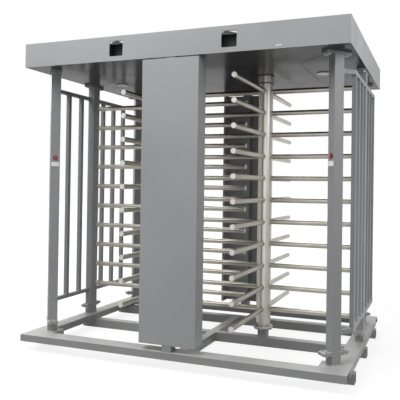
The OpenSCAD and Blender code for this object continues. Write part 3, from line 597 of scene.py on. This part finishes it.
def makeWindowCornersLightAndShade(side):
    # round corners of the opening, a pale sheet of painted light along its top edge, and a dark tent-shaped
    # sheet of painted shade before it
    low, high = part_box("window_boxes")
    centre = Vector((rotors[side]["x"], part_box("front_fascia")[0].y, (low.z + high.z) / 2))
    half = window["side"] / 2 * mm
    corner = window["corner"] * mm
    net = bmesh.new()
    for signA in (-1, 1):
        for signB in (-1, 1):
            tip = (centre - outFront * window["cornerDepth"] * mm + alongX * signA * half
                   + upward * signB * half)
            fan = [tip]
            for k in range(window["cornerSteps"] + 1):
                t = k / window["cornerSteps"] * math.pi / 2
                fan.append(tip - alongX * signA * corner * (1 - math.cos(t))
                           - upward * signB * corner * (1 - math.sin(t)))
            addSheet(net, fan, outFront, window["cornerThick"])
    finishPiece(side + "WindowCorners", net, sheetLitPaint, "frame")
    edge = half - window["edgeGap"] * mm
    bottom = half - window["lightSheetHeight"] * mm
    drop = half - window["shadeSheetHeight"] * mm
    peak = -edge + 2 * edge * window["peakShare"][side]
    peakHalf = window["peakHalfShare"] * edge
    lightSheetOutline = ((-edge, bottom), (edge, bottom), (edge, edge), (-edge, edge))
    shadeSheetOutline = ((-edge, drop), (edge, drop), (edge, drop + window["shadeSheetRight"] * mm),
                   (peak + peakHalf, edge), (peak - peakHalf, edge), (-edge, drop + window["shadeSheetLeft"] * mm))
    for name, depth, outline, material, slot in (
            ("WindowPaintedLight", window["lightSheetDepth"], lightSheetOutline, whiteNylonAndPaintedLight, "arm_cap"),
            ("WindowPaintedShade", window["shadeSheetDepth"], shadeSheetOutline, blackAbsAndPaintedShade, "black_housing")):
        back = centre - outFront * depth * mm
        net = bmesh.new()
        addSheet(net, [back + alongX * a + upward * b for a, b in outline], outFront, window["thick"])
        finishPiece(side + name, net, material, "frame")


washer = {"outer": 10.5, "inner": 5.6, "thick": 1.6, "steps": 24, "ear": 60, "earShare": 0.52, "rowGap": 36}


def makeWashers():
    # four washers on each lower plate, two on each of its ears
    profile = [(washer["inner"], 0), (washer["outer"], 0), (washer["outer"], washer["thick"]),
               (washer["inner"], washer["thick"])]
    net = bmesh.new()
    for foot in footings:
        along = Vector((math.cos(foot["earTurn"]), math.sin(foot["earTurn"]), 0))
        across = upward.cross(along)
        reach = (foot["depth"] / 2 + washer["ear"] * washer["earShare"]) * mm
        plateTop = foot["place"] + upward * (postLow.z + posts["flange"] * mm)
        for end in (-1, 1):
            for row in (-1, 1):
                spot = plateTop + along * end * reach + across * row * washer["rowGap"] / 2 * mm
                addRing(net, spot, profile, washer["steps"])
    finishPiece("postWashers", net, zincPlate, "frame")


makePostWelds()
makeFenceWelds()
makeSlotPaintedLight()
makeWashers()
for side, sign in (("left", -1), ("right", 1)):
    makeArmWelds(side)
    makeSeals(side)
    makeButtonPlate(side, sign)
    makeWindowCornersLightAndShade(side)
print("small parts made")

# Floor and light
studio = {
    "floorSize": 60.0,
    "floorColour": "#7A7A7A",
    "floorDrop": 0.5,
    "nearGlow": 0.84,  # the ground near the turnstile is a touch greyer than white, so that its shadow shows
    "nearRadius": 2.2,
    "farRadius": 6.5,
    "skyLow": 0.21,
    "skyHigh": 0.45,
}


def seenRays(tree):
    # 1 where the camera looks, straight or by reflection or through glass, and 0 for light on the object
    path = addNode(tree, "ShaderNodeLightPath").outputs
    mirrored = addNode(tree, "ShaderNodeMath", {"operation": "MAXIMUM"},
                       {0: path["Is Glossy Ray"], 1: path["Is Transmission Ray"]})
    return addNode(tree, "ShaderNodeMath", {"operation": "MAXIMUM"}, {0: path["Is Camera Ray"], 1: mirrored})


def makeFloor():
    mesh = bpy.data.meshes.new("floor")
    net = bmesh.new()
    bmesh.ops.create_grid(net, x_segments=8, y_segments=8, size=studio["floorSize"] / 2)
    net.to_mesh(mesh)
    net.free()
    floor = bpy.data.objects.new("floor", mesh)
    bpy.context.scene.collection.objects.link(floor)
    floor.location.z = cadLow.z - studio["floorDrop"] * mm
    material, tree, place = startMaterial("paleFloor")
    plain = addNode(tree, "ShaderNodeBsdfDiffuse", {"Color": hexToLinear(studio["floorColour"])})
    away = addNode(tree, "ShaderNodeVectorMath", {"operation": "LENGTH"}, {0: place}).outputs["Value"]
    level = addNode(tree, "ShaderNodeMapRange",
                    {"From Min": studio["nearRadius"], "From Max": studio["farRadius"],
                     "To Min": studio["nearGlow"], "To Max": 1.0}, {"Value": away})
    strength = addNode(tree, "ShaderNodeMath", {"operation": "MULTIPLY"}, {0: seenRays(tree), 1: level})
    glow = addNode(tree, "ShaderNodeEmission", {"Color": (1, 1, 1, 1)}, {"Strength": strength})
    both = addNode(tree, "ShaderNodeAddShader", None, {0: plain, 1: glow})
    addNode(tree, "ShaderNodeOutputMaterial", None, {"Surface": both})
    mesh.materials.append(material)


def makeWorld():
    world = bpy.data.worlds.new("studioWorld")
    bpy.context.scene.world = world
    world.use_nodes = True
    tree = world.node_tree
    tree.nodes.clear()
    aim = addNode(tree, "ShaderNodeTexCoord").outputs["Generated"]
    height = addNode(tree, "ShaderNodeSeparateXYZ", None, {0: aim}).outputs["Z"]
    sky = addNode(tree, "ShaderNodeMapRange", {"To Min": studio["skyLow"], "To Max": studio["skyHigh"]},
                  {"Value": height})
    strength = addNode(tree, "ShaderNodeMix", {"data_type": "FLOAT", "B": 1.0},
                       {"Factor": seenRays(tree), "A": sky})
    back = addNode(tree, "ShaderNodeBackground", {"Color": (1, 1, 1, 1)}, {"Strength": strength})
    addNode(tree, "ShaderNodeOutputWorld", None, {"Surface": back})


lamps = {
    "keyLamp": {"place": (-1.9, -3.1, 4.4), "aim": (0, -0.4, 1.0), "size": (3.0, 1.6), "watts": 100},
    "frontLamp": {"place": (2.4, -8.0, 1.7), "aim": (0, 0, 1.1), "size": (4.0, 2.4), "watts": 30},
    "topLamp": {"place": (-1.4, -3.0, 7.0), "aim": (0, -0.6, 0.5), "size": (5.0, 2.5), "watts": 150},
    "sideLamp": {"place": (3.6, -2.0, 2.9), "aim": (1.1, -0.2, 1.3), "size": (1.6, 2.0), "watts": 48},
    "backLamp": {"place": (-1.6, 4.8, 5.4), "aim": (0, 0.6, 1.0), "size": (3.6, 2.0), "watts": 150},
    "leftLamp": {"place": (-4.8, 1.0, 3.4), "aim": (-1.0, 0, 1.0), "size": (2.0, 2.0), "watts": 80},
}


def makeLamps():
    for name, lamp in lamps.items():
        light = bpy.data.lights.new(name, "AREA")
        light.shape = "RECTANGLE"
        light.size, light.size_y = lamp["size"]
        light.energy = lamp["watts"]
        holder = bpy.data.objects.new(name, light)
        holder.location = lamp["place"]
        ahead = Vector(lamp["aim"]) - Vector(lamp["place"])
        holder.rotation_euler = ahead.to_track_quat("-Z", "Y").to_euler()
        bpy.context.scene.collection.objects.link(holder)


camera = {
    "place": (1.7698, -4.0891, 1.2591),
    "yaw": 0.3399,
    "pitch": 0.0082,
    "roll": 0.0134,
    "lensMm": 48.28,
    "sensorMm": 36.0,
    "shift": (-0.13, -0.0422),
}


def makeCamera():
    data = bpy.data.cameras.new("camera")
    data.lens = camera["lensMm"]
    data.sensor_width = camera["sensorMm"]
    data.shift_x, data.shift_y = camera["shift"]
    yaw, pitch, roll = camera["yaw"], camera["pitch"], camera["roll"]
    right = Vector((math.cos(yaw), math.sin(yaw), 0))
    ahead = Vector((-math.sin(yaw) * math.cos(pitch), math.cos(yaw) * math.cos(pitch), math.sin(pitch)))
    up = right.cross(ahead)
    rolledRight = math.cos(roll) * right + math.sin(roll) * up
    rolledUp = -math.sin(roll) * right + math.cos(roll) * up
    turn = Matrix((rolledRight, rolledUp, -ahead)).transposed().to_4x4()
    holder = bpy.data.objects.new("camera", data)
    holder.matrix_world = Matrix.Translation(camera["place"]) @ turn
    bpy.context.scene.collection.objects.link(holder)
    bpy.context.scene.camera = holder


makeFloor()
makeWorld()
makeLamps()
makeCamera()
bpy.context.scene.view_settings.view_transform = "Standard"
print("floor, light and camera set")
